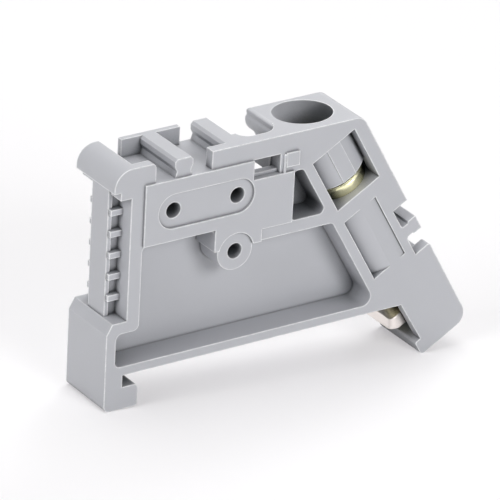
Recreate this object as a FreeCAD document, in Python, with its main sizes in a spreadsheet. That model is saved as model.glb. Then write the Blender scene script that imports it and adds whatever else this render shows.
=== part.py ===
import FreeCAD, Part
import math
import os
import re
import Sketcher

# DIN rail end stop: a one-piece moulded housing that hooks on one lip of a 35 mm rail,
# and a captive slotted screw, leaning 30 degrees, that draws a steel clamp foot up
# under the other lip. Millimetres. X runs across the rail, towards the clamp. -Y is the
# face with the raised plate. Z points away from the rail, and Z = 0 sits on the rail.

DIMENSIONS = {
    # rail and seat
    "rail_width": 35.0,
    "hook_play": 0.4,
    "clamp_play": 0.6,
    "hook_gap": 1.4,
    "hook_reach": 2.0,
    "foot_drop": 4.0,
    "foot_wall": 2.2,
    "foot_shoulder": 6.35,
    "foot_bevel_width": 0.7,
    "foot_bevel_drop": 1.2,
    # housing
    "thick": 7.6,
    "top_height": 24.0,
    "deck_drop": 2.1,
    "tilt": 30.0,
    "screw_beside_lip": 1.78,
    "screw_offset": 0.35,
    "outer_side": 4.47,
    "inner_side": 4.27,
    "round_heel": 1.6,
    "round_top": 1.4,
    "round_small": 0.3,
    "round_cavity": 0.7,
    "round_corner": 1.0,
    # clamp jaw
    "jaw_side": 1.62,
    "jaw_opening": 5.66,
    "jaw_lip": 0.8,
    "jaw_floor": 1.95,
    "jaw_space_above": 0.48,
    "jaw_inner_side": 3.2,
    "jaw_space": 2.85,
    # cooling notches in the slanted side
    "notch_root": 2.45,
    "notch_reach": 11.13,
    "notch_width": 2.5,
    "tooth_width": 1.85,
    "notch_undercut": 0.2,
    "undercut_reach": 0.8,
    "notch_skin": 1.35,
    "notch_deep": 2.8,
    # cap and ladder on the hook side
    "cap_left": 19.8,
    "cap_width": 5.05,
    "cap_rise": 0.1,
    "cap_drop": 2.45,
    "cap_bar": 2.65,
    "cap_wall": 1.1,
    "cap_round": 2.1,
    "cap_edge_round": 0.5,
    "neck_left": 19.0,
    "neck_drop": 3.35,
    "post_left": 17.65,
    "ladder_forward": 0.1,
    "ladder_left": 19.2,
    "ladder_wall": 0.48,
    "ladder_wall_depth": 3.2,
    "ladder_web": 2.5,
    "rung_inset": 0.1,
    "rung_depth": 4.15,
    "rung_height": 0.68,
    "rung_pitch": 2.49,
    "rung_first": 8.6,
    # flank cavity
    "seat_rib": 1.05,
    "cavity_depth": 3.4,
    "cavity_depth_back": 2.5,
    "cavity_left": 18.9,
    "cavity_step": 5.0,
    "cavity_post": 16.1,
    "cavity_drop_left": 3.45,
    "cavity_drop": 6.05,
    "cavity_notch": 7.1,
    # raised plate, pin holes and their boss
    "plate_proud": 0.3,
    "plate_right_drop": 4.6,
    "plate_tab": 1.15,
    "hole_radius": 0.9,
    "hole_drop": 5.8,
    "hole_far": 12.4,
    "hole_near": 4.35,
    "boss_drop": 6.55,
    "boss_radius": 2.2,
    "window_radius": 2.0,
    # triangular pocket
    "pocket_beside_screw": 3.6,
    "pocket_drop": 4.55,
    "pocket_depth": 3.3,
    "pocket_round": 0.6,
    # slot below the bridge, and the tile beside it
    "slot_left": 2.55,
    "slot_beside_screw": 5.35,
    "slot_drop": 4.35,
    "bridge_height": 2.15,
    "tile_beside_screw": 4.7,
    "tile_size": 1.65,
    # open corner behind the bridge
    "corner_drop": 8.7,
    "corner_left": 3.1,
    "corner_beside_screw": 4.55,
    "corner_wall": 1.45,
    "corner_ledge_drop": 5.7,
    "corner_ledge_depth": 3.1,
    "corner_back_depth": 1.5,
    "corner_back_drop": 1.2,
    "corner_back_side": 4.7,
    "corner_round_left": 1.3,
    "corner_round_right": 2.0,
    "tower_round": 0.5,
    # marker ribs on the deck
    "bridge_thick": 1.2,
    "bridge_left": 7.75,
    "rib_near": 4.52,
    "rib_far": 11.28,
    "rib_half": 1.12,
    "rib_waist": 0.85,
    "rib_foot": 1.05,
    "rib_waist_height": 0.65,
    "rib_head_height": 1.2,
    "rib_bevel": 0.3,
    "rib_wall": 0.65,
    "rib_wall_right": 7.4,
    # screw well, head chamber and shaft tunnel
    "well_radius": 3.0,
    "well_outer": 3.81,
    "well_flat": 3.73,
    "well_end": 8.25,
    "window_left": 3.08,
    "window_right": 2.92,
    "window_start": 3.1,
    "seat_depth": 10.42,
    "chamber_radius": 3.55,
    "tunnel_outer": 4.2,
    "tunnel_flat": 4.17,
    "tunnel_roof": 1.88,
    "tunnel_end_gap": 5.43,
    "tunnel_right": 1.42,
    # screw
    "shank_radius": 2.0,
    "shank_clearance": 0.08,
    "screw_past_foot": 1.2,
    "screw_point": 0.5,
    "head_radius": 3.2,
    "head_height": 1.3,
    "head_seat_gap": 0.02,
    "head_bevel": 0.2,
    "drive_width": 1.0,
    "drive_depth": 0.7,
    # clamp foot
    "foot_plate_gap": 2.12,
    "foot_plate_thick": 1.6,
    "foot_plate_reach": 3.2,
    "foot_plate_side_gap": 0.2,
    "foot_plate_end_gap": 0.3,
    "foot_plate_tip": 1.15,
    "foot_plate_round": 0.5,
}

# Places that follow from the dimensions. "rail_reach" is the distance down the screw's axis from
# the top face to the rail lip beside the jaw, and heights in the upper part hang from the top.
FOLLOWS = {
    "lip_place": "rail_width / 2 + clamp_play",
    "screw_place": "lip_place + (screw_beside_lip - top_height * sin(tilt)) / cos(tilt)",
    "rail_reach": "top_height * cos(tilt) + (lip_place - screw_place) * sin(tilt)",
    "jaw_length": "rail_reach + jaw_opening",
    "jaw_end": "jaw_length + jaw_floor",
    "jaw_floor_start": "rail_reach - jaw_space_above",
    "foot_plate_top": "rail_reach + foot_plate_gap",
    "screw_length": "foot_plate_top + foot_plate_thick + screw_past_foot - seat_depth",
    "notch_start": "rail_reach - notch_reach",
    "tooth_start": "notch_start + notch_width",
    "tooth_end": "tooth_start + tooth_width",
    "notch_end": "tooth_end + notch_width",
    "tunnel_start": "seat_depth + tunnel_roof",
    "tunnel_end": "rail_reach - tunnel_end_gap",
    "deck_height": "top_height - deck_drop",
    "cap_height": "top_height + cap_rise",
    "cap_foot": "top_height - cap_drop",
    "neck_foot": "top_height - neck_drop",
    "slot_floor": "top_height - slot_drop",
    "pocket_top": "top_height - pocket_drop",
    "hole_height": "top_height - hole_drop",
    "boss_height": "hole_height - boss_drop",
    "cavity_top_left": "hole_height - cavity_drop_left",
    "cavity_top": "hole_height - cavity_drop",
    "plate_right_foot": "hole_height - plate_right_drop",
    "pocket_left": "screw_place - pocket_beside_screw",
    "slot_right": "screw_place - slot_beside_screw",
    "tile_left": "screw_place - tile_beside_screw",
    "corner_right": "screw_place - corner_beside_screw",
    "corner_floor": "top_height - corner_drop",
    "corner_ledge": "top_height - corner_ledge_drop",
    "corner_back_top": "top_height - corner_back_drop",
}

doc = FreeCAD.newDocument("end_stop")

sizes = doc.addObject("Spreadsheet::Sheet", "sizes")
for row, (word, value) in enumerate(DIMENSIONS.items(), 1):
    sizes.set("A%d" % row, word)
    sizes.set("B%d" % row, str(value))
    sizes.setAlias("B%d" % row, word)
doc.recompute()


def bound(formula):
    """A formula in the words above, with each word pointing at its cell of the sheet."""

    def cell(found):
        word = found.group()
        if word in FOLLOWS:
            return "(%s)" % bound(FOLLOWS[word])
        return "sizes." + word if word in DIMENSIONS else word

    return re.sub(r"[a-z]\w+", cell, formula)


def number(formula):
    """What a formula comes to now."""
    result = sizes.evalExpression(bound(formula))
    return float(getattr(result, "Value", result))


def leaning(along, across):
    """A place in side view, from the screw's axis: along it from the top face, and across it."""
    return (
        "screw_place + (%s) * sin(tilt) + (%s) * cos(tilt)" % (along, across),
        "top_height - (%s) * cos(tilt) + (%s) * sin(tilt)" % (along, across),
    )


def lean_at_height(across, height):
    """Where a line beside the screw's axis reaches a height, in side view."""
    return (
        "screw_place + ((%s) + (top_height - (%s)) * sin(tilt)) / cos(tilt)" % (across, height),
        height,
    )


def new_body(label):
    body = doc.addObject("PartDesign::Body", label)
    body.Label = label
    return body


def new_sketch(body, name, plane, offset="0"):
    """An empty sketch on one of the body's own planes, moved out along its normal."""
    sketch = body.newObject("Sketcher::SketchObject", name)
    support = next(item for item in body.Origin.OriginFeatures if item.Role == plane)
    sketch.AttachmentSupport = [(support, "")]
    sketch.MapMode = "FlatFace"
    sketch.setExpression(".AttachmentOffset.Base.z", bound(offset))
    return sketch


def new_leaning_sketch(body, name, along):
    """An empty sketch square to the screw: its x runs across the screw, its y to the back."""
    sketch = new_sketch(body, name, "XY_Plane")
    sketch.AttachmentOffset = FreeCAD.Placement(
        FreeCAD.Vector(), FreeCAD.Rotation(FreeCAD.Vector(0, -1, 0), number("tilt"))
    )
    centre_x, centre_z = leaning(along, "0")
    sketch.setExpression(".AttachmentOffset.Base.x", bound(centre_x))
    sketch.setExpression(".AttachmentOffset.Base.y", bound("screw_offset"))
    sketch.setExpression(".AttachmentOffset.Base.z", bound(centre_z))
    sketch.setExpression(".AttachmentOffset.Rotation.Angle", bound("tilt"))
    return sketch


def pin_points(sketch, pins):
    """Ties points of the sketch to formulas: each pin is a geometry, its end, and x and y."""
    ties = [
        (kind, geometry, end, formula)
        for geometry, end, x, y in pins
        for kind, formula in (("DistanceX", x), ("DistanceY", y))
        if formula
    ]
    indices = sketch.addConstraint([
        Sketcher.Constraint(kind, -1, 1, geometry, end, number(formula))
        for kind, geometry, end, formula in ties
    ])
    for index, tie in zip(indices, ties):
        sketch.setExpression("Constraints[%d]" % index, bound(tie[3]))


def draw_corners(sketch, corners):
    """A closed outline of straight lines through corners given by formulas."""
    places = [FreeCAD.Vector(number(x), number(y), 0) for x, y in corners]
    count = len(corners)
    sketch.addGeometry(
        [Part.LineSegment(start, end) for start, end in zip(places, places[1:] + places[:1])], False
    )
    sketch.addConstraint([
        Sketcher.Constraint("Coincident", index, 2, (index + 1) % count, 1) for index in range(count)
    ])
    pin_points(sketch, [(index, 1, x, y) for index, (x, y) in enumerate(corners)])


def draw_circles(sketch, centres, radius):
    for x, y in centres:
        centre = FreeCAD.Vector(number(x), number(y), 0)
        circle = sketch.addGeometry(Part.Circle(centre, FreeCAD.Vector(0, 0, 1), number(radius)), False)
        pin_points(sketch, [(circle, 3, x, y)])
        index = sketch.addConstraint(Sketcher.Constraint("Radius", circle, number(radius)))
        sketch.setExpression("Constraints[%d]" % index, bound(radius))


def swept(body, kind, name, sketch, length, both_ways=False, other_way=False):
    """A pad or pocket of a sketch, with its length tied to the sheet."""
    feature = body.newObject("PartDesign::" + kind, name)
    feature.Profile = sketch
    feature.Length = number(length)
    feature.setExpression("Length", bound(length))
    feature.Midplane = both_ways
    feature.Reversed = other_way
    feature.Refine = False
    sketch.Visibility = False
    doc.recompute()
    return feature


def corner_edges(shape, corners, low, high):
    """The straight edges along Y that stand on the given corners, between two limits of Y."""
    places = [FreeCAD.Vector(number(x), 0, number(z)) for x, z in corners]
    names = []
    for index, edge in enumerate(shape.Edges, 1):
        ends = [vertex.Point for vertex in edge.Vertexes]
        if len(ends) != 2 or abs(ends[1].y - ends[0].y) < 0.05:
            continue
        if min(end.y for end in ends) < number(low) or max(end.y for end in ends) > number(high):
            continue
        feet = [FreeCAD.Vector(end.x, 0, end.z) for end in ends]
        if any(all(foot.distanceToPoint(place) < 0.01 for foot in feet) for place in places):
            names.append("Edge%d" % index)
    return names


def rounded(body, name, corners, radius, low="-thick", high="thick"):
    """Rounds the edges along Y that stand on the given corners."""
    base = body.Tip
    fillet = body.newObject("PartDesign::Fillet", name)
    fillet.Refine = False
    fillet.Base = (base, corner_edges(base.Shape, corners, low, high))
    fillet.Radius = number(radius)
    fillet.setExpression("Radius", bound(radius))
    doc.recompute()
    return fillet


# housing: outline in side view, pulled to both sides of the middle plane

housing = new_body("body")

hook_wall = "-rail_width / 2 - hook_play"
hook_tip = "-rail_width / 2 - hook_play + hook_reach"
foot_left = "-rail_width / 2 - hook_play - foot_wall"
foot_bottom_left = (foot_left, "-foot_drop")
foot_bottom_right = (hook_tip, "-foot_drop")
hook_nose = (hook_tip, "-hook_gap")
jaw_root = ("lip_place", "0")
lip_top = leaning("jaw_length", "-jaw_side - jaw_lip")
lip_end = leaning("jaw_end", "-jaw_side - jaw_lip")
heel = leaning("jaw_end", "outer_side")
ledge = leaning("notch_end", "outer_side")
second_notch_root = leaning("tooth_end", "notch_root")
first_notch_root = leaning("tooth_start + notch_undercut", "notch_root")
undercut_mouth = "notch_root + undercut_reach + notch_undercut"
top_right = lean_at_height("outer_side", "top_height")
cap_right = "-cap_left + cap_width"
cap_top_right = (cap_right, "cap_height")
cap_top_left = ("-cap_left", "cap_height")

outline = [
    foot_bottom_left,
    foot_bottom_right,
    hook_nose,
    (hook_wall, "-hook_gap"),
    (hook_wall, "0"),
    jaw_root,
    leaning("jaw_length", "-jaw_side"),
    lip_top,
    lip_end,
    heel,
    ledge,
    leaning("notch_end", "notch_root"),
    second_notch_root,
    leaning("tooth_end - notch_undercut", "notch_root + notch_undercut"),
    leaning("tooth_end - notch_undercut", "notch_root + undercut_reach"),
    leaning("tooth_end", undercut_mouth),
    leaning("tooth_end", "outer_side"),
    leaning("tooth_start", "outer_side"),
    leaning("tooth_start", undercut_mouth),
    leaning("tooth_start + notch_undercut", "notch_root + undercut_reach"),
    first_notch_root,
    leaning("notch_start", "notch_root"),
    leaning("notch_start", "outer_side"),
    top_right,
    ("corner_right", "top_height"),
    ("corner_right", "deck_height"),
    (cap_right, "deck_height"),
    cap_top_right,
    cap_top_left,
    ("-cap_left", "cap_foot"),
    ("-neck_left", "cap_foot"),
    ("-neck_left", "neck_foot"),
    ("-post_left", "neck_foot"),
    ("-post_left", "foot_shoulder"),
    (foot_left + " + foot_bevel_width", "foot_shoulder"),
    (foot_left, "foot_shoulder - foot_bevel_drop"),
]
side_view = new_sketch(housing, "side_view", "XZ_Plane")
draw_corners(side_view, outline)
swept(housing, "Pad", "side_block", side_view, "thick", both_ways=True)
rounded(housing, "heel_round", [heel], "round_heel")
rounded(housing, "top_round", [top_right], "round_top")
rounded(housing, "cap_nose", [cap_top_left], "cap_round")
rounded(housing, "cap_edge", [cap_top_right, hook_nose, lip_end], "cap_edge_round")
rounded(housing, "foot_round", [foot_bottom_left], "round_cavity")
rounded(
    housing,
    "small_rounds",
    [foot_bottom_right, ledge, second_notch_root, first_notch_root, lip_top],
    "round_small",
)

# the cap is a bar with a thin wall on its front, which leaves the deck open behind that wall

cap_space = new_sketch(housing, "cap_space_view", "XZ_Plane", "-thick / 2")
draw_corners(cap_space, [
    ("-cap_left + cap_bar", "deck_height"),
    (cap_right, "deck_height"),
    (cap_right, "cap_height"),
    ("-cap_left + cap_bar", "cap_height"),
])
swept(housing, "Pocket", "cap_space", cap_space, "thick - cap_wall", other_way=True)

# ladder down the hook side: a thin outer wall on a web, with rungs across the gap

ladder_wall = new_sketch(housing, "ladder_wall_view", "XZ_Plane", "ladder_forward")
draw_corners(ladder_wall, [
    ("-ladder_left", "foot_shoulder"),
    ("-ladder_left + ladder_wall", "foot_shoulder"),
    ("-ladder_left + ladder_wall", "cap_foot"),
    ("-ladder_left", "cap_foot"),
])
swept(housing, "Pad", "ladder_outer_wall", ladder_wall, "ladder_wall_depth", both_ways=True)
ladder_web = new_sketch(housing, "ladder_web_view", "XZ_Plane", "ladder_forward")
draw_corners(ladder_web, [
    ("-ladder_left + ladder_wall / 2", "foot_shoulder"),
    ("-post_left", "foot_shoulder"),
    ("-post_left", "neck_foot"),
    ("-ladder_left + ladder_wall / 2", "neck_foot"),
])
swept(housing, "Pad", "ladder_inner_web", ladder_web, "ladder_web", both_ways=True)
first_rung = new_sketch(housing, "rung_view", "XZ_Plane", "ladder_forward")
draw_corners(first_rung, [
    ("rung_inset - ladder_left", "rung_first - rung_height / 2"),
    ("-post_left", "rung_first - rung_height / 2"),
    ("-post_left", "rung_first + rung_height / 2"),
    ("rung_inset - ladder_left", "rung_first + rung_height / 2"),
])
rung = swept(housing, "Pad", "rung", first_rung, "rung_depth", both_ways=True)
RUNGS = 5
rungs = housing.newObject("PartDesign::LinearPattern", "rungs")
rungs.Originals = [rung]
rungs.Direction = (first_rung, ["V_Axis"])
rungs.Occurrences = RUNGS
rungs.setExpression("Length", bound("rung_pitch * %d" % (RUNGS - 1)))
housing.Tip = rungs
doc.recompute()

# cavities in both flanks, with the web between them

cavity_top_right = lean_at_height("-inner_side", "cavity_top")
cavity_foot_right = lean_at_height("-inner_side", "seat_rib")
cavity_plate_corner = ("-cavity_notch", "cavity_top_left")
cavity = [
    ("-cavity_left", "seat_rib"),
    cavity_foot_right,
    cavity_top_right,
    ("-cavity_notch", "cavity_top"),
    cavity_plate_corner,
    ("-cavity_post", "cavity_top_left"),
    ("-cavity_post", "cavity_step"),
    ("-cavity_left", "cavity_step"),
]
front_cavity = new_sketch(housing, "front_cavity_view", "XZ_Plane", "thick / 2")
draw_corners(front_cavity, cavity)
swept(housing, "Pocket", "front_cavity", front_cavity, "cavity_depth")
back_cavity = new_sketch(housing, "back_cavity_view", "XZ_Plane", "-thick / 2")
draw_corners(back_cavity, cavity)
swept(housing, "Pocket", "back_cavity", back_cavity, "cavity_depth_back", other_way=True)
rounded(housing, "cavity_foot_rounds", [cavity_foot_right], "round_corner")
rounded(
    housing,
    "cavity_rounds",
    [cavity_top_right, cavity_plate_corner] + [cavity[0]] + cavity[5:],
    "round_cavity",
)

# boss for the lower pin hole, standing on the web of both cavities

boss_view = new_sketch(housing, "boss_view", "XZ_Plane")
draw_circles(boss_view, [("-hole_near", "boss_height")], "boss_radius")
swept(housing, "Pad", "boss", boss_view, "thick", both_ways=True)

# triangular pocket beside the screw

pocket_corners = [
    ("pocket_left", "plate_right_foot"),
    lean_at_height("-inner_side", "plate_right_foot"),
    lean_at_height("-inner_side", "pocket_top"),
    ("pocket_left", "pocket_top"),
]
pocket_view = new_sketch(housing, "pocket_view", "XZ_Plane", "thick / 2")
draw_corners(pocket_view, pocket_corners)
swept(housing, "Pocket", "triangular_pocket", pocket_view, "pocket_depth")
rounded(housing, "pocket_rounds", pocket_corners, "pocket_round", high="0")

# raised plate on the front, with a window round the upper holes and a ring round the boss

plate_view = new_sketch(housing, "plate_view", "XZ_Plane", "thick / 2")
plate_corner = ("-cavity_notch", "cavity_top_left")
draw_corners(plate_view, [
    ("-cavity_post", "cavity_top_left"),
    plate_corner,
    ("-cavity_notch", "cavity_top"),
    ("-plate_tab", "cavity_top"),
    ("-plate_tab", "plate_right_foot"),
    ("pocket_left", "plate_right_foot"),
    ("pocket_left", "slot_floor"),
    ("-slot_left", "slot_floor"),
    ("-slot_left", "deck_height"),
    ("-cavity_post", "deck_height"),
])
swept(housing, "Pad", "raised_plate", plate_view, "plate_proud")
plate_ring = new_sketch(housing, "plate_ring_view", "XZ_Plane", "thick / 2 + plate_proud")
draw_circles(plate_ring, [("-hole_near", "boss_height")], "boss_radius")
swept(housing, "Pocket", "plate_ring", plate_ring, "plate_proud")
plate_window = new_sketch(housing, "plate_window_view", "XZ_Plane", "thick / 2 + plate_proud")
draw_corners(plate_window, [
    ("-hole_far", "hole_height - window_radius"),
    ("-hole_near", "hole_height - window_radius"),
    ("-hole_near", "hole_height + window_radius"),
    ("-hole_far", "hole_height + window_radius"),
])
swept(housing, "Pocket", "plate_window", plate_window, "plate_proud")
window_ends = new_sketch(housing, "window_ends_view", "XZ_Plane", "thick / 2 + plate_proud")
upper_holes = [("-hole_far", "hole_height"), ("-hole_near", "hole_height")]
draw_circles(window_ends, upper_holes, "window_radius")
swept(housing, "Pocket", "window_ends", window_ends, "plate_proud")
tile_view = new_sketch(housing, "tile_view", "XZ_Plane", "thick / 2")
draw_corners(tile_view, [
    ("tile_left", "deck_height - tile_size"),
    ("tile_left + tile_size", "deck_height - tile_size"),
    ("tile_left + tile_size", "deck_height"),
    ("tile_left", "deck_height"),
])
swept(housing, "Pad", "tile", tile_view, "plate_proud")

# marker ribs on the deck: a thin back wall with a waisted rib, and a second waisted rib


def waisted_rib(name, middle, front, length):
    """A rib along Y with a wide head and a waist, standing on the deck."""
    view = new_sketch(housing, name + "_view", "XZ_Plane", front)
    head = "(top_height - deck_height)"
    right = [
        ("rib_foot", "deck_height"),
        ("rib_waist", "deck_height + rib_waist_height"),
        ("rib_half", "deck_height + rib_head_height"),
        ("rib_half", "deck_height + %s - rib_bevel" % head),
        ("rib_half - rib_bevel", "deck_height + %s" % head),
    ]
    left = [("-(%s)" % x, z) for x, z in reversed(right)]
    draw_corners(view, [("-(%s) + (%s)" % (middle, x), z) for x, z in right + left])
    return swept(housing, "Pad", name, view, length, other_way=True)


waisted_rib("far_rib", "rib_far", "thick / 2", "thick")
waisted_rib("near_rib", "rib_near", "thick / 2 - bridge_thick / 2", "thick - bridge_thick / 2")
rib_wall = new_sketch(housing, "rib_wall_view", "XZ_Plane", "-thick / 2")
draw_corners(rib_wall, [
    (cap_right, "deck_height"),
    ("-rib_wall_right", "deck_height"),
    ("-rib_wall_right", "top_height"),
    (cap_right, "top_height"),
])
swept(housing, "Pad", "rib_back_wall", rib_wall, "rib_wall")
bridge_view = new_sketch(housing, "bridge_view", "XZ_Plane", "thick / 2")
draw_corners(bridge_view, [
    ("-bridge_left", "deck_height"),
    ("corner_right", "deck_height"),
    ("corner_right", "top_height"),
    ("-bridge_left", "top_height"),
])
swept(housing, "Pad", "bridge", bridge_view, "bridge_thick", other_way=True)

# root of the bridge, and the open corner behind it, drawn in plan

bridge_root = new_sketch(housing, "bridge_root_view", "XZ_Plane", "thick / 2")
draw_corners(bridge_root, [
    ("-rib_near", "deck_height"),
    ("corner_right", "deck_height"),
    ("corner_right", "top_height"),
    ("-rib_near", "top_height"),
])
swept(housing, "Pad", "bridge_root", bridge_root, "corner_wall + corner_round_left", other_way=True)
corner_view = new_sketch(housing, "corner_view", "XY_Plane", "top_height")
wall_back = "corner_wall - thick / 2"
left_end = "corner_round_left - corner_left"
right_end = "corner_right - corner_round_right"
left_side = "%s + corner_round_left" % wall_back
right_side = "%s + corner_round_right" % wall_back
tower_side = "thick / 2 - tower_round"
tower_face = "corner_right + tower_round"
points = [
    FreeCAD.Vector(number(x), number(y), 0)
    for x, y in (
        ("-corner_left", "thick"),
        ("-corner_left", left_side),
        (left_end, wall_back),
        (right_end, wall_back),
        ("corner_right", right_side),
        ("corner_right", tower_side),
        (tower_face, "thick / 2"),
        (tower_face, "thick"),
    )
]


def bend(x, y, radius, first_angle):
    """A quarter of a circle, from its first angle on."""
    circle = Part.Circle(
        FreeCAD.Vector(number(x), number(y), 0), FreeCAD.Vector(0, 0, 1), number(radius)
    )
    return Part.ArcOfCircle(circle, first_angle, first_angle + math.pi / 2)


corner_view.addGeometry([
    Part.LineSegment(points[0], points[1]),
    bend(left_end, left_side, "corner_round_left", math.pi),
    Part.LineSegment(points[2], points[3]),
    bend(right_end, right_side, "corner_round_right", 1.5 * math.pi),
    Part.LineSegment(points[4], points[5]),
    bend(tower_face, tower_side, "tower_round", math.pi / 2),
    Part.LineSegment(points[6], points[7]),
    Part.LineSegment(points[7], points[0]),
], False)
corner_view.addConstraint([
    Sketcher.Constraint("Coincident", 0, 2, 1, 1),
    Sketcher.Constraint("Coincident", 1, 2, 2, 1),
    Sketcher.Constraint("Coincident", 2, 2, 3, 1),
    Sketcher.Constraint("Coincident", 3, 2, 4, 1),
    Sketcher.Constraint("Coincident", 4, 2, 5, 2),
    Sketcher.Constraint("Coincident", 5, 1, 6, 1),
    Sketcher.Constraint("Coincident", 6, 2, 7, 1),
    Sketcher.Constraint("Coincident", 7, 2, 0, 1),
])
pin_points(corner_view, [
    (0, 1, "-corner_left", "thick"),
    (1, 1, "-corner_left", left_side),
    (1, 3, left_end, left_side),
    (1, 2, left_end, ""),
    (3, 1, right_end, wall_back),
    (3, 3, "", right_side),
    (3, 2, "corner_right", right_side),
    (5, 2, "corner_right", tower_side),
    (5, 3, tower_face, tower_side),
    (5, 1, tower_face, ""),
    (7, 1, tower_face, "thick"),
])
swept(housing, "Pocket", "open_corner", corner_view, "corner_drop")
for name, low, high, side, depth in (
    ("corner_ledge", "corner_floor", "corner_ledge", "inner_side", "corner_ledge_depth"),
    ("corner_back", "corner_floor", "corner_back_top", "corner_back_side", "corner_back_depth"),
):
    step = new_sketch(housing, name + "_view", "XZ_Plane", "-thick / 2")
    draw_corners(step, [
        ("corner_right - corner_round_left", low),
        lean_at_height("-(%s)" % side, low),
        lean_at_height("-(%s)" % side, high),
        ("corner_right - corner_round_left", high),
    ])
    swept(housing, "Pocket", name, step, depth, other_way=True)
slot_view = new_sketch(housing, "slot_view", "XZ_Plane", "thick / 2")
draw_corners(slot_view, [
    ("-slot_left", "slot_floor"),
    ("slot_right", "slot_floor"),
    ("slot_right", "top_height - bridge_height"),
    ("-slot_left", "top_height - bridge_height"),
])
swept(housing, "Pocket", "slot", slot_view, "corner_wall + plate_proud")

# pin holes right through

pin_holes = new_sketch(housing, "pin_holes_view", "XZ_Plane", "thick / 2 + plate_proud")
draw_circles(pin_holes, upper_holes + [("-hole_near", "boss_height")], "hole_radius")
swept(housing, "Pocket", "pin_holes", pin_holes, "thick + 2 * plate_proud")

# deep notch behind the front skin of the slanted side

deep_notch = new_sketch(housing, "deep_notch_view", "XZ_Plane", "-thick / 2")
draw_corners(deep_notch, [
    leaning("tooth_end", "notch_root"),
    leaning("notch_end + notch_deep", "notch_root"),
    leaning("notch_end + notch_deep", "outer_side + notch_skin"),
    leaning("tooth_end", "outer_side + notch_skin"),
])
swept(housing, "Pocket", "deep_notch", deep_notch, "thick - notch_skin", other_way=True)


# screw well, window, chamber and tunnel, all drawn square to the screw


def channel_beside_tube(name, start, length, left, right, radius, side, flat):
    """Cuts one flank back to a round tube with a flat on it. Side is -1 for the front, 1 for the back."""
    sketch = new_leaning_sketch(housing, name + "_view", start)
    outside = "%d * (thick / 2 + screw_offset + 1)" % side
    tube, flat_out = number(radius), number(flat)

    def on_tube(x):
        return FreeCAD.Vector(x, side * (tube ** 2 - x ** 2) ** 0.5, 0)

    def bow(start_point, end_point):
        middle = start_point + end_point
        return Part.Arc(start_point, middle * (tube / middle.Length), end_point)

    flat_half = (tube ** 2 - flat_out ** 2) ** 0.5
    flat_start = FreeCAD.Vector(-flat_half, side * flat_out, 0)
    flat_end = FreeCAD.Vector(min(flat_half, number(right)), side * flat_out, 0)
    wall_foot = on_tube(number(left))
    corner = FreeCAD.Vector(number(left), number(outside), 0)
    far_corner = FreeCAD.Vector(number(right), number(outside), 0)
    round_end = number(right) > flat_half
    far_foot = on_tube(number(right)) if round_end else flat_end
    shapes = [
        Part.LineSegment(corner, wall_foot),
        bow(wall_foot, flat_start),
        Part.LineSegment(flat_start, flat_end),
        Part.LineSegment(far_foot, far_corner),
        Part.LineSegment(far_corner, corner),
    ]
    wall, first_bow, flat_line, far_wall, opening = range(5)
    last_bow = None
    if round_end:
        last_bow = len(shapes)
        shapes.append(bow(flat_end, far_foot))
    sketch.addGeometry(shapes, False)

    # an arc is always kept counter-clockwise, so its ends swap over on the back
    first, last = (2, 1) if side > 0 else (1, 2)
    join = Sketcher.Constraint
    joins = [
        join("Coincident", wall, 2, first_bow, first),
        join("Coincident", first_bow, last, flat_line, 1),
        join("Coincident", far_wall, 2, opening, 1),
        join("Coincident", opening, 2, wall, 1),
        join("Coincident", first_bow, 3, -1, 1),
        join("Horizontal", flat_line),
    ]
    if round_end:
        joins += [
            join("Coincident", flat_line, 2, last_bow, first),
            join("Coincident", last_bow, last, far_wall, 1),
            join("Coincident", last_bow, 3, -1, 1),
        ]
    else:
        joins.append(join("Coincident", flat_line, 2, far_wall, 1))
    sketch.addConstraint(joins)
    radius_tie = sketch.addConstraint(join("Radius", first_bow, tube))
    sketch.setExpression("Constraints[%d]" % radius_tie, bound(radius))
    pin_points(sketch, [
        (wall, 1, left, outside),
        (wall, 2, left, None),
        (flat_line, 1, None, "%d * (%s)" % (side, flat)),
        (far_wall, 1, right, None),
        (far_wall, 2, right, outside),
    ])
    return swept(housing, "Pocket", name, sketch, length)


BACK_FLAT = "thick / 2 - screw_offset"
window_span = ("window_start", "well_end - window_start", "-window_left", "window_right")
tunnel_span = ("tunnel_start", "tunnel_end - tunnel_start", "-window_left", "tunnel_right")
channel_beside_tube("screw_window", *window_span, "well_outer", -1, "well_flat")
channel_beside_tube("screw_window_back", *window_span, "well_outer", 1, BACK_FLAT)
channel_beside_tube("tunnel_recess", *tunnel_span, "tunnel_outer", -1, "tunnel_flat")
channel_beside_tube("tunnel_recess_back", *tunnel_span, "tunnel_outer", 1, BACK_FLAT)
head_window = new_leaning_sketch(housing, "head_window_view", "well_end")
draw_corners(head_window, [
    ("-window_left", "-thick"),
    ("window_right", "-thick"),
    ("window_right", "thick"),
    ("-window_left", "thick"),
])
swept(housing, "Pocket", "head_window", head_window, "seat_depth - well_end")
chamber = new_leaning_sketch(housing, "chamber_view", "well_end")
draw_circles(chamber, [("0", "0")], "chamber_radius")
swept(housing, "Pocket", "head_chamber", chamber, "seat_depth - well_end")
well = new_leaning_sketch(housing, "well_view", "-well_radius")
draw_circles(well, [("0", "0")], "well_radius")
swept(housing, "Pocket", "screw_well", well, "well_end + well_radius")
shaft_hole = new_leaning_sketch(housing, "shaft_hole_view", "seat_depth")
draw_circles(shaft_hole, [("0", "0")], "shank_radius + shank_clearance")
swept(housing, "Pocket", "shaft_hole", shaft_hole, "jaw_length - seat_depth")

# space in the jaw where the clamp foot travels, open towards the rail

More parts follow.
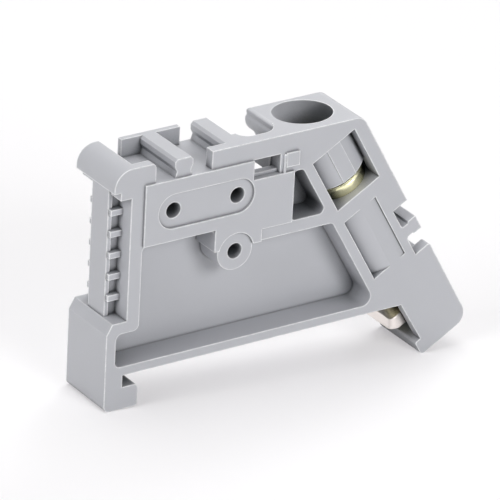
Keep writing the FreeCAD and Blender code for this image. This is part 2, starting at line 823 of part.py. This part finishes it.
jaw_space = new_leaning_sketch(housing, "jaw_space_view", "jaw_floor_start")
draw_corners(jaw_space, [
    ("-jaw_side - jaw_lip - foot_plate_reach", "-jaw_space"),
    ("jaw_inner_side", "-jaw_space"),
    ("jaw_inner_side", "jaw_space"),
    ("-jaw_side - jaw_lip - foot_plate_reach", "jaw_space"),
])
last_cut = swept(housing, "Pocket", "jaw_space", jaw_space, "jaw_length - jaw_floor_start")
last_cut.Refine = True

# clamp screw: cheese head with a driver slot, and a plain shank for the thread

screw = new_body("clamp_screw")
shank = new_leaning_sketch(screw, "shank_view", "seat_depth + screw_length")
draw_circles(shank, [("0", "0")], "shank_radius")
swept(screw, "Pad", "shank", shank, "screw_length + head_seat_gap")
head = new_leaning_sketch(screw, "head_view", "seat_depth - head_seat_gap")
draw_circles(head, [("0", "0")], "head_radius")
swept(screw, "Pad", "head", head, "head_height")


def ring_edges(shape, radius, along):
    """The round edges of a given radius at a place along the screw."""
    x, z = (number(formula) for formula in leaning(along, "0"))
    centre = FreeCAD.Vector(x, number("screw_offset"), z)
    return [
        "Edge%d" % index
        for index, edge in enumerate(shape.Edges, 1)
        if isinstance(edge.Curve, Part.Circle)
        and abs(edge.Curve.Radius - number(radius)) < 0.001
        and edge.Curve.Center.distanceToPoint(centre) < 0.01
    ]


def bevelled(body, name, edges, width):
    base = body.Tip
    chamfer = body.newObject("PartDesign::Chamfer", name)
    chamfer.Base = (base, edges)
    chamfer.Size = number(width)
    chamfer.setExpression("Size", bound(width))
    doc.recompute()
    return chamfer


head_top = "seat_depth - head_seat_gap - head_height"
bevelled(screw, "head_edge", ring_edges(screw.Tip.Shape, "head_radius", head_top), "head_bevel")
point_edges = ring_edges(screw.Tip.Shape, "shank_radius", "seat_depth + screw_length")
bevelled(screw, "point", point_edges, "screw_point")
drive = new_leaning_sketch(screw, "drive_view", head_top)
draw_corners(drive, [
    ("-head_radius - head_bevel", "-drive_width / 2"),
    ("head_radius + head_bevel", "-drive_width / 2"),
    ("head_radius + head_bevel", "drive_width / 2"),
    ("-head_radius - head_bevel", "drive_width / 2"),
])
swept(screw, "Pocket", "driver_slot", drive, "drive_depth")

# clamp foot: thick steel plate square to the screw, with its gripping end cut upright

foot = new_body("clamp_foot")
foot_half = "jaw_space - foot_plate_side_gap"
foot_bottom = "foot_plate_top + foot_plate_thick"
tip_x, tip_z = leaning("foot_plate_top", "-foot_plate_reach")
tip_foot_z = "(%s) - foot_plate_tip" % tip_z
bend_x = (
    "screw_place + (%s) / sin(tilt) - (top_height - (%s)) * cos(tilt) / sin(tilt)"
    % (foot_bottom, tip_foot_z)
)
foot_view = new_sketch(foot, "foot_view", "XZ_Plane", "-screw_offset")
draw_corners(foot_view, [
    (tip_x, tip_z),
    (tip_x, tip_foot_z),
    (bend_x, tip_foot_z),
    leaning(foot_bottom, "jaw_inner_side - foot_plate_end_gap"),
    leaning("foot_plate_top", "jaw_inner_side - foot_plate_end_gap"),
])
swept(foot, "Pad", "plate", foot_view, "2 * (%s)" % foot_half, both_ways=True)
tip_edges = [
    "Edge%d" % index
    for index, edge in enumerate(foot.Tip.Shape.Edges, 1)
    if all(abs(vertex.X - number(tip_x)) < 0.001 for vertex in edge.Vertexes)
    and abs(edge.Vertexes[0].Z - edge.Vertexes[-1].Z) > 0.1
]
plate = foot.Tip
tip_round = foot.newObject("PartDesign::Fillet", "tip_rounds")
tip_round.Base = (plate, tip_edges)
tip_round.setExpression("Radius", bound("foot_plate_round"))
doc.recompute()
thread = new_leaning_sketch(foot, "thread_view", "foot_plate_top")
draw_circles(thread, [("0", "0")], "shank_radius + shank_clearance")
swept(foot, "Pocket", "thread_hole", thread, "foot_plate_thick")

doc.recompute()

for item in doc.Objects:
    if "Invalid" in item.State or "Error" in item.State:
        raise RuntimeError("%s failed: %s" % (item.Name, item.State))
for piece in (housing, screw, foot):
    if piece.Shape.isNull() or not piece.Shape.isValid() or len(piece.Shape.Solids) != 1:
        raise RuntimeError("%s has no single valid solid" % piece.Label)

os.makedirs("parts", exist_ok=True)
for piece in (housing, screw, foot):
    piece.Shape.exportStep("parts/%s.step" % piece.Label)
    box = piece.Shape.BoundBox
    print(piece.Label, "volume %.2f" % piece.Shape.Volume, "box", box)
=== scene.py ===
import bmesh
import bpy
import math
from mathutils import Matrix, Vector
from mathutils.geometry import interpolate_bezier


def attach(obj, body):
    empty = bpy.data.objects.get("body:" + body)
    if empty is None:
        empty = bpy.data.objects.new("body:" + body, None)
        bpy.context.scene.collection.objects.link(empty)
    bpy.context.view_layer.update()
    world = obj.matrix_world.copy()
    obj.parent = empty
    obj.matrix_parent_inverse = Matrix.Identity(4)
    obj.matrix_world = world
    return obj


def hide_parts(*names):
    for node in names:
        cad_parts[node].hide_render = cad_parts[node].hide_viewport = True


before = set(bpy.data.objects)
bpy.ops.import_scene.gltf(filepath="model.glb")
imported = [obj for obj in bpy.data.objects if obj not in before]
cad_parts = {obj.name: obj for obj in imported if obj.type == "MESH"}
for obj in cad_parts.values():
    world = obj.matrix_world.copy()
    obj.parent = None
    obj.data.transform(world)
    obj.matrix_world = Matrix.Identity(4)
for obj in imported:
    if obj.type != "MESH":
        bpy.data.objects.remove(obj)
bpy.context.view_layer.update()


# Camera. The end stop was photographed from its left and above, with a long lens from over half a
# metre away. The camera leans a little, because the part stands on its two feet, one lower than
# the other, while the frame keeps the rail seat level.
MM = 0.001
PHOTO_WIDTH_PX = 500
FOCAL_LENGTH_PX = 5294
SENSOR_WIDTH_MM = 36
CAMERA_DISTANCE = 570 * MM
CAMERA_TURN = math.radians(34.67)
CAMERA_HEIGHT = math.radians(25.74)
CAMERA_LEAN = math.radians(3.09)
AIM_POINT = Vector((0.74, 0.68, 8.67)) * MM
NEAREST_SEEN = 10 * MM
FARTHEST_SEEN = 10000 * MM
forward = Vector((
    math.sin(CAMERA_TURN) * math.cos(CAMERA_HEIGHT),
    math.cos(CAMERA_TURN) * math.cos(CAMERA_HEIGHT),
    -math.sin(CAMERA_HEIGHT),
))
level = Vector((math.cos(CAMERA_TURN), -math.sin(CAMERA_TURN), 0))
right = Matrix.Rotation(-CAMERA_LEAN, 3, forward) @ level
up = right.cross(forward)
facing = Matrix((right, up, -forward)).transposed().to_4x4()
camera_data = bpy.data.cameras.new("camera")
camera_data.sensor_width = SENSOR_WIDTH_MM
camera_data.lens = FOCAL_LENGTH_PX / PHOTO_WIDTH_PX * SENSOR_WIDTH_MM
camera_data.clip_start = NEAREST_SEEN
camera_data.clip_end = FARTHEST_SEEN
camera = bpy.data.objects.new("camera", camera_data)
camera.matrix_world = Matrix.Translation(AIM_POINT - forward * CAMERA_DISTANCE) @ facing
scene = bpy.context.scene
scene.collection.objects.link(camera)
scene.camera = camera
scene.view_settings.view_transform = "Standard"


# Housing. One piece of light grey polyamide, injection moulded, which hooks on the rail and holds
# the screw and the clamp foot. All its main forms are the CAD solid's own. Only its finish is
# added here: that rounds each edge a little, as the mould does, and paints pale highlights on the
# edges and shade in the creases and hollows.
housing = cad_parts["body"]


def colour(hex_code):
    """An sRGB hex colour as the linear values that a shader works in."""
    channels = [int(hex_code[start:start + 2], 16) / 255 for start in (1, 3, 5)]
    linear = [c / 12.92 if c <= 0.04045 else ((c + 0.055) / 1.055) ** 2.4 for c in channels]
    return (*linear, 1)


def new_finish(name):
    """A new material, with its node tree and its main shader."""
    material = bpy.data.materials.new(name)
    material.use_nodes = True
    return material, material.node_tree, material.node_tree.nodes["Principled BSDF"]


def add_node(tree, kind, settings=None, values=None, links=None):
    """Adds one node: its settings, its sockets' values, and what its sockets are linked to."""
    node = tree.nodes.new(kind)
    for setting, value in (settings or {}).items():
        setattr(node, setting, value)
    for socket, value in (values or {}).items():
        node.inputs[socket].default_value = value
    for socket, source in (links or {}).items():
        tree.links.new(source, node.inputs[socket])
    return node


# Moulded polyamide. The mould leaves it satin, so the lamps show as wide soft patches with a faint
# grain in them. The real grain is about 0.05 mm, and is drawn coarser so that it shows.
SATIN_ROUGHNESS = 0.42
POLYAMIDE_IOR = 1.53
MOULD_RADIUS = 0.14 * MM
PALE_EDGE_DEPTH = 0.16 * MM
HIGHLIGHT_BREAKUP_PATCH = 0.6 * MM
CREASE_REACH = 0.4 * MM
HOLLOW_REACH = 8.0 * MM
GRAIN_SIZE = 0.25 * MM
GRAIN_HEIGHT = 0.01 * MM
NODE_SAMPLES = 8
polyamide, tree, shader = new_finish("moulded_polyamide")
shader.inputs["Roughness"].default_value = SATIN_ROUGHNESS
shader.inputs["IOR"].default_value = POLYAMIDE_IOR
place = add_node(tree, "ShaderNodeTexCoord")

# Painted highlight: thin edges are painted paler than the faces beside them, broken up unevenly by
# noise.
thin_edge = add_node(
    tree, "ShaderNodeAmbientOcclusion",
    settings={"inside": True, "only_local": True, "samples": NODE_SAMPLES},
    values={"Distance": PALE_EDGE_DEPTH},
)
pale = add_node(
    tree, "ShaderNodeMapRange",
    values={"From Min": 0.95, "From Max": 0.5, "To Min": 0.0, "To Max": 1.0},
    links={"Value": thin_edge.outputs["AO"]},
)
highlight_noise = add_node(
    tree, "ShaderNodeTexNoise",
    values={"Scale": 1 / HIGHLIGHT_BREAKUP_PATCH, "Detail": 2},
    links={"Vector": place.outputs["Object"]},
)
highlight_breakup = add_node(
    tree, "ShaderNodeMapRange",
    values={"From Min": 0.35, "From Max": 0.65, "To Min": 0.65, "To Max": 1.0},
    links={"Value": highlight_noise.outputs["Fac"]},
)
uneven = add_node(
    tree, "ShaderNodeMath", settings={"operation": "MULTIPLY"},
    links={0: pale.outputs["Result"], 1: highlight_breakup.outputs["Result"]},
)

# A Mix node's colour sockets share their names with others, so they are given by their places.
MIX_SHARE = 0
MIX_FIRST = 6
MIX_SECOND = 7
MIX_RESULT = 2
# The faces' grey, mixed towards a painted highlight colour on the edges.
tone = add_node(
    tree, "ShaderNodeMix", settings={"data_type": "RGBA"},
    values={MIX_FIRST: colour("#b1b2b7"), MIX_SECOND: colour("#f6f6f7")},
    links={MIX_SHARE: uneven.outputs["Value"]},
)

# Painted shade: creases are painted with a fine dark line of shade.
crease = add_node(
    tree, "ShaderNodeAmbientOcclusion",
    settings={"only_local": True, "samples": NODE_SAMPLES}, values={"Distance": CREASE_REACH},
)
crease_shade = add_node(
    tree, "ShaderNodeMapRange",
    values={"From Min": 0.42, "From Max": 0.9, "To Min": 0.42, "To Max": 1.0},
    links={"Value": crease.outputs["AO"]},
)
shaded = add_node(
    tree, "ShaderNodeVectorMath", settings={"operation": "SCALE"},
    links={"Vector": tone.outputs[MIX_RESULT], "Scale": crease_shade.outputs["Result"]},
)

# Painted shade: deep hollows, such as the tunnel and the slot, are painted darker, falling off to a
# cool dark grey.
hollow = add_node(
    tree, "ShaderNodeAmbientOcclusion",
    settings={"samples": NODE_SAMPLES}, values={"Distance": HOLLOW_REACH},
)
openness = add_node(
    tree, "ShaderNodeMapRange",
    values={"From Min": 0.05, "From Max": 0.44, "To Min": 0.0, "To Max": 1.0},
    links={"Value": hollow.outputs["AO"]},
)
hollow_shade_tone = add_node(
    tree, "ShaderNodeMix", settings={"data_type": "RGBA"},
    values={MIX_FIRST: colour("#474f53"), MIX_SECOND: colour("#ffffff")},
    links={MIX_SHARE: openness.outputs["Result"]},
)
hollow_shaded = add_node(
    tree, "ShaderNodeVectorMath", settings={"operation": "MULTIPLY"},
    links={0: shaded.outputs["Vector"], 1: hollow_shade_tone.outputs[MIX_RESULT]},
)
tree.links.new(hollow_shaded.outputs["Vector"], shader.inputs["Base Color"])

# Rounded edges, with the grain over them.
rounded = add_node(
    tree, "ShaderNodeBevel", settings={"samples": NODE_SAMPLES}, values={"Radius": MOULD_RADIUS},
)
grain = add_node(
    tree, "ShaderNodeTexNoise",
    values={"Scale": 1 / GRAIN_SIZE, "Detail": 3},
    links={"Vector": place.outputs["Object"]},
)
bump = add_node(
    tree, "ShaderNodeBump",
    values={"Strength": 0.2, "Distance": GRAIN_HEIGHT},
    links={"Height": grain.outputs["Fac"], "Normal": rounded.outputs["Normal"]},
)
tree.links.new(bump.outputs["Normal"], shader.inputs["Normal"])
housing.data.materials.clear()
housing.data.materials.append(polyamide)


# Small bars of the moulding. A narrow flat down the front of the screw's tube, a ledge in the
# opening under the bridge, and a rib beside the square tile. They are of the housing's polyamide
# and moulded in one with it.
def moulded_bar(name, corner, sides, soft_edge):
    """A straight bar from one corner along three sides, with rounded edges."""
    long_side, cross_side, depth_side = sides
    ends = [
        [corner + long_side * step + offset for offset in
         (Vector(), cross_side, cross_side + depth_side, depth_side)]
        for step in (0, 1)
    ]
    mesh = bpy.data.meshes.new(name)
    mesh.from_pydata(
        ends[0] + ends[1], [],
        [(3, 2, 1, 0), (4, 5, 6, 7), (0, 1, 5, 4), (1, 2, 6, 5), (2, 3, 7, 6), (3, 0, 4, 7)],
    )
    mesh.materials.append(polyamide)
    bar = bpy.data.objects.new(name, mesh)
    scene.collection.objects.link(bar)
    softened = bar.modifiers.new("softened_edges", "BEVEL")
    softened.width = soft_edge
    softened.segments = 3
    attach(bar, "housing")


# The screw's line starts in the mouth of its well and leans away from the hook.
SCREW_TOP = Vector((6.30, 0.35, 24.0)) * MM
SCREW_LEAN = math.radians(30)
down_screw = Vector((math.sin(SCREW_LEAN), 0, -math.cos(SCREW_LEAN)))
beside_screw = Vector((math.cos(SCREW_LEAN), 0, math.sin(SCREW_LEAN)))
along_rail = Vector((1, 0, 0))
inward = Vector((0, 1, 0))
upward = Vector((0, 0, 1))
FLAT_START = 3.0 * MM
FLAT_FRONT = -3.47 * MM
FLAT_LENGTH = 5.25 * MM
FLAT_THICKNESS = 0.32 * MM
FLAT_WIDTH = 1.84 * MM
FLAT_SOFT_EDGE = 0.04 * MM
moulded_bar(
    "tube_flat",
    Vector((SCREW_TOP.x, FLAT_FRONT, SCREW_TOP.z))
    + down_screw * FLAT_START - beside_screw * FLAT_WIDTH / 2,
    (down_screw * FLAT_LENGTH, inward * FLAT_THICKNESS, beside_screw * FLAT_WIDTH),
    FLAT_SOFT_EDGE,
)
LEDGE_CORNER = Vector((-2.6, -3.25, 19.5)) * MM
LEDGE_LENGTH = 3.6 * MM
LEDGE_DEPTH = 0.9 * MM
LEDGE_HEIGHT = 0.5 * MM
BAR_SOFT_EDGE = 0.06 * MM
moulded_bar(
    "slot_ledge",
    LEDGE_CORNER,
    (along_rail * LEDGE_LENGTH, inward * LEDGE_DEPTH, upward * LEDGE_HEIGHT),
    BAR_SOFT_EDGE,
)
RIB_CORNER = Vector((1.3, -4.08, 19.5)) * MM
RIB_HEIGHT = 2.3 * MM
RIB_WIDTH = 0.28 * MM
RIB_DEPTH = 0.4 * MM
moulded_bar(
    "tile_rib",
    RIB_CORNER,
    (upward * RIB_HEIGHT, along_rail * RIB_WIDTH, inward * RIB_DEPTH),
    BAR_SOFT_EDGE,
)


# Waisted edge of the tower, over the open corner behind the bridge. It is moulded with the housing
# and repeats the marker ribs: a rounded head, a waist and a full belly that runs into the slope.
# Its outline is drawn along the rail and upwards, in millimetres, with its root inside the tower.
ROOT_TOP = (2.6, 23.6)
ROOT_FOOT = (2.8, 21.5)
TOP_START = (1.98, 24.01)
HEAD_CENTRE = Vector((1.62, 23.83))
HEAD_RADIUS = 0.18
HEAD_STEPS = 4
WAIST = ((1.45, 23.58), (1.5, 23.44), (1.46, 23.32))
BELLY_START = Vector((1.36, 23.18))
BELLY_START_PULL = Vector((1.27, 23.05))
BELLY_END_PULL = Vector((1.18, 21.93))
BELLY_END = Vector((2.48, 21.22))
BELLY_POINTS = 12
EDGE_BACK = 3.79
EDGE_FRONT = -0.6
EDGE_BURIED_FRONT = -1.3
BURIED_ASIDE = 0.16
BURIED_DOWN = 0.12
EDGE_SHARP_FROM = math.radians(40)
head_turns = [math.pi / 2 * step / HEAD_STEPS for step in range(HEAD_STEPS + 1)]
head = [
    HEAD_CENTRE + HEAD_RADIUS * Vector((-math.sin(turn), math.cos(turn))) for turn in head_turns
]
belly = interpolate_bezier(
    BELLY_START, BELLY_START_PULL, BELLY_END_PULL, BELLY_END, BELLY_POINTS,
)
outline = [ROOT_TOP, TOP_START, *head, *WAIST, *belly, ROOT_FOOT]
slices = (
    (EDGE_BACK, 0, 0), (EDGE_FRONT, 0, 0), (EDGE_BURIED_FRONT, BURIED_ASIDE, BURIED_DOWN),
)
count = len(outline)
edge_points = [
    Vector((x + aside, y, z - down)) * MM for y, aside, down in slices for x, z in outline
]
edge_ends = [tuple(reversed(range(count))), tuple(range(2 * count, 3 * count))]
edge_sides = [
    (first + i, first + (i + 1) % count, first + count + (i + 1) % count, first + count + i)
    for first in (0, count) for i in range(count)
]
edge_mesh = bpy.data.meshes.new("tower_edge")
edge_mesh.from_pydata(edge_points, [], edge_ends + edge_sides)
edge_mesh.shade_smooth()
edge_mesh.set_sharp_from_angle(angle=EDGE_SHARP_FROM)
edge_mesh.materials.append(polyamide)
tower_edge = bpy.data.objects.new("tower_edge", edge_mesh)
scene.collection.objects.link(tower_edge)
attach(tower_edge, "housing")


# Clamp screw. Steel, with a cheese head and a driver slot, zinc plated and yellow passivated. The
# head and the plain shank are the CAD screw's own, and the end of the shank has its rolled thread.
CREST_RADIUS = 2.0 * MM
THREAD_DEPTH = 0.4 * MM
THREAD_PITCH = 0.7 * MM
THREAD_START = 24.5 * MM
THREAD_END = 31.6 * MM
POINT_BEVEL = 0.5 * MM
TURN_STEPS = 40
PITCH_STEPS = 10
WELD_DISTANCE = 0.0001 * MM
THREAD_SHARP_FROM = math.radians(35)
screw_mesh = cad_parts["clamp_screw"].data.copy()
screw_mesh.name = "threaded_screw"
screw = bpy.data.objects.new("threaded_screw", screw_mesh)
scene.collection.objects.link(screw)

# The plain end of the shank is cut off and closed.
build = bmesh.new()
build.from_mesh(screw_mesh)
bmesh.ops.remove_doubles(build, verts=build.verts, dist=WELD_DISTANCE)
bmesh.ops.bisect_plane(
    build, geom=build.verts[:] + build.edges[:] + build.faces[:],
    plane_co=SCREW_TOP + down_screw * THREAD_START, plane_no=down_screw, clear_outer=True,
)
bmesh.ops.holes_fill(build, edges=[edge for edge in build.edges if edge.is_boundary])

# The thread is a stack of rings, whose groove moves on by one turn in each pitch. It runs in over
# the first pitch, and the point is bevelled.
thread_length = THREAD_END - THREAD_START
ring_count = round(thread_length / THREAD_PITCH * PITCH_STEPS)
rings = []
for ring in range(ring_count + 1):
    travel = thread_length * ring / ring_count
    run_in = min(travel / THREAD_PITCH, 1)
    to_point = thread_length - travel
    points = []
    for step in range(TURN_STEPS):
        turn_share = step / TURN_STEPS
        groove = 0.5 - 0.5 * math.cos(2 * math.pi * (travel / THREAD_PITCH - turn_share))
        radius = CREST_RADIUS - THREAD_DEPTH * groove * run_in
        radius = min(radius, CREST_RADIUS - max(POINT_BEVEL - to_point, 0))
        angle = 2 * math.pi * turn_share
        points.append(build.verts.new(
            SCREW_TOP + down_screw * (THREAD_START + travel)
            + beside_screw * radius * math.cos(angle) + inward * radius * math.sin(angle)
        ))
    rings.append(points)
for upper, lower in zip(rings, rings[1:]):
    for step in range(TURN_STEPS):
        following = (step + 1) % TURN_STEPS
        build.faces.new((upper[step], upper[following], lower[following], lower[step]))
build.faces.new(rings[0])
build.faces.new(rings[-1])
bmesh.ops.recalc_face_normals(build, faces=build.faces)
build.to_mesh(screw_mesh)
build.free()

# The normals that came with the CAD mesh don't fit the new one, so it makes its own.
if "custom_normal" in screw_mesh.attributes:
    screw_mesh.attributes.remove(screw_mesh.attributes["custom_normal"])
screw_mesh.shade_smooth()
screw_mesh.set_sharp_from_angle(angle=THREAD_SHARP_FROM)
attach(screw, "screw")
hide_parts("clamp_screw")

# Yellow passivated zinc. A bright smooth plating with a straw tint, which mirrors what is round it:
# white on the open side of the head, and nearly black in the slot and deep in the window, where
# its colour is also darkened by painted shade.
PLATED_ROUGHNESS = 0.18
SCREW_RIM_RADIUS = 0.1 * MM
RECESS_REACH = 2.0 * MM
yellow_zinc, tree, shader = new_finish("yellow_zinc")
shader.inputs["Metallic"].default_value = 1
shader.inputs["Roughness"].default_value = PLATED_ROUGHNESS
# Painted shade: the plating's colour is darkened in the slot, the window and other recesses.
recess = add_node(
    tree, "ShaderNodeAmbientOcclusion",
    settings={"samples": NODE_SAMPLES}, values={"Distance": RECESS_REACH},
)
recess_shade = add_node(
    tree, "ShaderNodeMapRange",
    values={"From Min": 0.15, "From Max": 0.45, "To Min": 0.12, "To Max": 1.0},
    links={"Value": recess.outputs["AO"]},
)
coat = add_node(
    tree, "ShaderNodeVectorMath", settings={"operation": "SCALE"},
    values={"Vector": colour("#fffbd2")[:3]},
    links={"Scale": recess_shade.outputs["Result"]},
)
tree.links.new(coat.outputs["Vector"], shader.inputs["Base Color"])
rim = add_node(
    tree, "ShaderNodeBevel",
    settings={"samples": NODE_SAMPLES}, values={"Radius": SCREW_RIM_RADIUS},
)
tree.links.new(rim.outputs["Normal"], shader.inputs["Normal"])
screw.data.materials.clear()
screw.data.materials.append(yellow_zinc)


# Clamp foot. A thick steel plate, pressed to shape and bright zinc plated, with a threaded hole.
# It hangs on the screw between the side walls of the jaw, and its upright end grips under the lip
# of the rail.
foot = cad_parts["clamp_foot"]

# Bright zinc. A pale metal with soft highlights, which the pits of the pressed plate break up, and
# painted dark with shade where it lies in the jaw. The pits are drawn coarser than real ones, so
# that they show.
PRESSED_ROUGHNESS = 0.3
FOOT_RIM_RADIUS = 0.15 * MM
SHELTER_REACH = 3.0 * MM
PIT_SIZE = 0.3 * MM
PIT_DEPTH = 0.04 * MM
bright_zinc, tree, shader = new_finish("bright_zinc")
shader.inputs["Metallic"].default_value = 1
shader.inputs["Roughness"].default_value = PRESSED_ROUGHNESS
# Painted shade: the plating's colour is darkened where the jaw shelters it.
shelter = add_node(
    tree, "ShaderNodeAmbientOcclusion",
    settings={"samples": NODE_SAMPLES}, values={"Distance": SHELTER_REACH},
)
recess_shade = add_node(
    tree, "ShaderNodeMapRange",
    values={"From Min": 0.42, "From Max": 0.72, "To Min": 0.05, "To Max": 1.0},
    links={"Value": shelter.outputs["AO"]},
)
coat = add_node(
    tree, "ShaderNodeVectorMath", settings={"operation": "SCALE"},
    values={"Vector": colour("#f0e9e4")[:3]},
    links={"Scale": recess_shade.outputs["Result"]},
)
tree.links.new(coat.outputs["Vector"], shader.inputs["Base Color"])
rim = add_node(
    tree, "ShaderNodeBevel",
    settings={"samples": NODE_SAMPLES}, values={"Radius": FOOT_RIM_RADIUS},
)
place = add_node(tree, "ShaderNodeTexCoord")
pits = add_node(
    tree, "ShaderNodeTexNoise",
    values={"Scale": 1 / PIT_SIZE, "Detail": 4},
    links={"Vector": place.outputs["Object"]},
)
bump = add_node(
    tree, "ShaderNodeBump",
    values={"Strength": 0.7, "Distance": PIT_DEPTH},
    links={"Height": pits.outputs["Fac"], "Normal": rim.outputs["Normal"]},
)
tree.links.new(bump.outputs["Normal"], shader.inputs["Normal"])
foot.data.materials.clear()
foot.data.materials.append(bright_zinc)


# Floor. A sheet of white paper. The part stands on it with the hook's foot and with the tip of the
# jaw, which reaches lower, so the floor slopes against the frame by a few degrees.
FOOT_CORNER = Vector((-19.45, 0, -4.0)) * MM
JAW_TIP = Vector((21.85, 0, -6.7)) * MM
FLOOR_HALF = 3000 * MM
down_floor = (JAW_TIP - FOOT_CORNER).normalized()
standing_place = (FOOT_CORNER + JAW_TIP) / 2
floor_corners = [
    standing_place + down_floor * x * FLOOR_HALF + inward * y * FLOOR_HALF
    for x, y in ((-1, -1), (1, -1), (1, 1), (-1, 1))
]
floor_mesh = bpy.data.meshes.new("floor")
floor_mesh.from_pydata(floor_corners, [], [(0, 1, 2, 3)])
floor = bpy.data.objects.new("floor", floor_mesh)
scene.collection.objects.link(floor)


def looked_at(tree):
    """1 where the camera, a reflection or a look through glass meets the backdrop, and else 0."""
    sight = add_node(tree, "ShaderNodeLightPath")
    mirrored = add_node(
        tree, "ShaderNodeMath", settings={"operation": "MAXIMUM"},
        links={0: sight.outputs["Is Glossy Ray"], 1: sight.outputs["Is Transmission Ray"]},
    )
    seen = add_node(
        tree, "ShaderNodeMath", settings={"operation": "MAXIMUM"},
        links={0: sight.outputs["Is Camera Ray"], 1: mirrored.outputs["Value"]},
    )
    return seen.outputs["Value"]


# White paper. Matt, and white up to the edge of the picture, because it glows a little to the eye
# and in gloss. The glow doesn't reach matt surfaces, so the part keeps its soft shadow.
PAPER_ROUGHNESS = 0.9
PAPER_GLOW = 0.42
paper, tree, shader = new_finish("white_paper")
shader.inputs["Base Color"].default_value = colour("#f9f9f9")
shader.inputs["Roughness"].default_value = PAPER_ROUGHNESS
glow = add_node(
    tree, "ShaderNodeEmission", values={"Color": colour("#fffcff"), "Strength": 1.0},
)
glow_share = add_node(
    tree, "ShaderNodeMath", settings={"operation": "MULTIPLY"},
    values={1: PAPER_GLOW}, links={0: looked_at(tree)},
)
blend = add_node(
    tree, "ShaderNodeMixShader",
    links={0: glow_share.outputs["Value"], 1: shader.outputs["BSDF"], 2: glow.outputs["Emission"]},
)
tree.links.new(blend.outputs["Shader"], tree.nodes["Material Output"].inputs["Surface"])
floor_mesh.materials.append(paper)


# Light. Four round soft boxes stand above, left, in front and right of the part, as in a small
# studio tent. The tent round them looks white, and gives the part only a little light.
def soft_box(name, place, size, power):
    """A round lamp, in metres and watts, that points at the part."""
    data = bpy.data.lights.new(name, "AREA")
    data.shape = "DISK"
    data.size = size
    data.energy = power
    lamp = bpy.data.objects.new(name, data)
    lamp.location = place
    lamp.rotation_mode = "QUATERNION"
    lamp.rotation_quaternion = (standing_place - Vector(place)).to_track_quat("-Z", "Y")
    scene.collection.objects.link(lamp)


soft_box("top_light", place=(0.05, 0.15, 0.6), size=0.5, power=2.0)
soft_box("left_light", place=(-0.6, -0.1, 0.4), size=0.4, power=2.5)
soft_box("front_light", place=(0.1, -0.7, 0.35), size=0.4, power=3.45)
soft_box("right_light", place=(0.55, 0.4, 0.45), size=0.4, power=1.8)
TENT_FILL = 0.04
world = bpy.data.worlds.new("studio")
world.use_nodes = True
tree = world.node_tree
fill = tree.nodes["Background"]
fill.inputs["Color"].default_value = colour("#ffffff")
fill.inputs["Strength"].default_value = TENT_FILL
white = add_node(
    tree, "ShaderNodeBackground", values={"Color": colour("#ffffff"), "Strength": 1.0},
)
blend = add_node(
    tree, "ShaderNodeMixShader",
    links={0: looked_at(tree), 1: fill.outputs["Background"], 2: white.outputs["Background"]},
)
tree.links.new(blend.outputs["Shader"], tree.nodes["World Output"].inputs["Surface"])
scene.world = world
